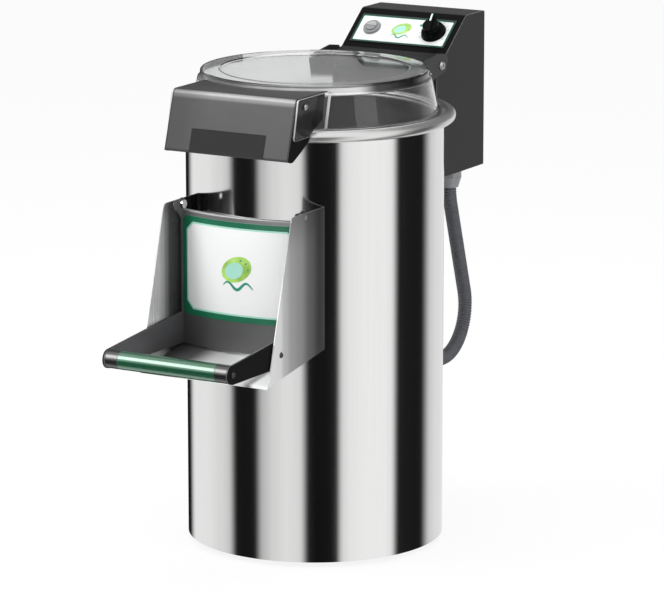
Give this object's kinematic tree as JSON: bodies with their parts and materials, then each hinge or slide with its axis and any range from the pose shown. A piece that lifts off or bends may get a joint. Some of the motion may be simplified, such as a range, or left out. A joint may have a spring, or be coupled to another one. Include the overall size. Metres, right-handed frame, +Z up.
{
  "type": "electric potato peeler",
  "caption": "Standing electric peeler: round steel drum with a clear hinged lid, a front chute with a lifting door and bar handle, and a black control box behind.",
  "frame": {"origin": "on the floor, under the middle of the box round the whole machine", "axes": "-Y to the front (chute and handle), +Y to the back (control box), +Z up; X across, the drum axis stands at x 0, y 0.028"},
  "size_m": [0.4351, 0.832, 0.7949],
  "materials": {
    "steel": "polished stainless sheet",
    "inner_steel": "plain stainless sheet",
    "rim_steel": "satin steel, rolled at the edge",
    "dark_metal": "satin black paint",
    "grey_metal": "satin grey paint",
    "zinc": "bright screw and shaft steel",
    "cast": "as-cast alloy",
    "grit": "cast alloy faced with bonded grit",
    "grit_lining": "moulded liner faced with bonded grit",
    "iron": "painted motor casting",
    "rubber": "matt rubber",
    "seal_rubber": "matt grey rubber",
    "brass": "plain turned brass",
    "clear": "clear polycarbonate moulding",
    "black_plastic": "satin black moulding",
    "grey_plastic": "satin grey moulding",
    "white_plate": "white printed plate with a dark green border",
    "green_tube": "metallic green",
    "switch_black": "dull black moulding"
  },
  "bodies": {
    "machine": {"base_plate": "inner_steel", "feet": "rubber", "outer_casing": "steel", "rim_ring": "rim_steel", "peeling_chamber": "inner_steel", "abrasive_lining": "grit_lining", "outlet_throat": "steel", "bearing_housing": "cast", "shaft_bearings": "zinc", "shaft_seal": "rubber", "motor": "iron", "motor_cradle": "grey_metal", "drive_belt": "rubber", "drain_outlet": "steel", "water_inlet": "brass", "spray_nozzle": "zinc", "left_cheek": "steel", "right_cheek": "steel", "chute_floor": "steel", "door_pivots": "zinc", "cheek_screws": "zinc", "control_box": "black_plastic", "rear_cover": "black_plastic", "box_screws": "zinc", "box_bracket": "dark_metal", "panel_plate": "white_plate", "button_bezel": "grey_plastic", "switch_block": "switch_black", "timer_body": "switch_black", "contactor": "switch_black", "lid_switch": "switch_black", "lid_pivots": "zinc", "conduit": "grey_plastic", "conduit_glands": "grey_plastic", "mains_gland": "grey_plastic"},
    "lid": {"lid_dome": "clear", "lid_seal": "seal_rubber", "hood": "black_plastic", "lid_hinge": "dark_metal", "lid_screws": "zinc"},
    "door": {"door_frame": "grey_metal", "door_panel": "steel", "door_label": "white_plate", "door_pad": "inner_steel", "door_seal": "rubber", "handle_tube": "green_tube", "handle_sleeves": "steel", "arm_covers": "black_plastic", "handle_screws": "zinc"},
    "plate_assembly": {"abrasive_plate": "grit", "plate_hub": "cast", "plate_nut": "zinc", "drive_shaft": "zinc", "driven_pulley": "cast"},
    "motor_rotor": {"motor_shaft": "zinc", "motor_pulley": "cast"},
    "knob": {"timer_knob": "black_plastic"},
    "start_push": {"start_button": "grey_plastic"},
    "stop_push": {"stop_button": "grey_plastic"}
  },
  "joints": [
    {"name": "lid_hinge", "type": "hinge", "parent": "machine", "child": "lid", "pos_m": [0, 0.2584, 0.7205], "axis": [-1, 0, 0], "range_deg": [0, 100]},
    {"name": "door_hinge", "type": "hinge", "parent": "machine", "child": "door", "pos_m": [0, -0.194, 0.556], "axis": [-1, 0, 0], "range_deg": [0, 70]},
    {"name": "plate_spin", "type": "hinge", "parent": "machine", "child": "plate_assembly", "pos_m": [0, 0.028, 0.283], "axis": [0, 0, 1], "continuous": true},
    {"name": "motor_spin", "type": "hinge", "parent": "machine", "child": "motor_rotor", "pos_m": [0, -0.102, 0.083], "axis": [0, 0, 1], "continuous": true},
    {"name": "timer_turn", "type": "hinge", "parent": "machine", "child": "knob", "pos_m": [0.055, 0.31367, 0.76174], "axis": [0, 0.6219, -0.7831], "range_deg": [0, 300]},
    {"name": "start_press", "type": "slide", "parent": "machine", "child": "start_push", "axis": [0, 0.6219, -0.7831], "range_m": [0, 0.003], "stiffness_N_per_m": 400, "springref_m": -0.002},
    {"name": "stop_press", "type": "slide", "parent": "machine", "child": "stop_push", "axis": [0, 0.6219, -0.7831], "range_m": [0, 0.003], "stiffness_N_per_m": 400, "springref_m": -0.002}
  ],
  "couplings": [
    {"joint": "motor_spin", "follows": "plate_spin", "ratio": 4.0833}
  ]
}
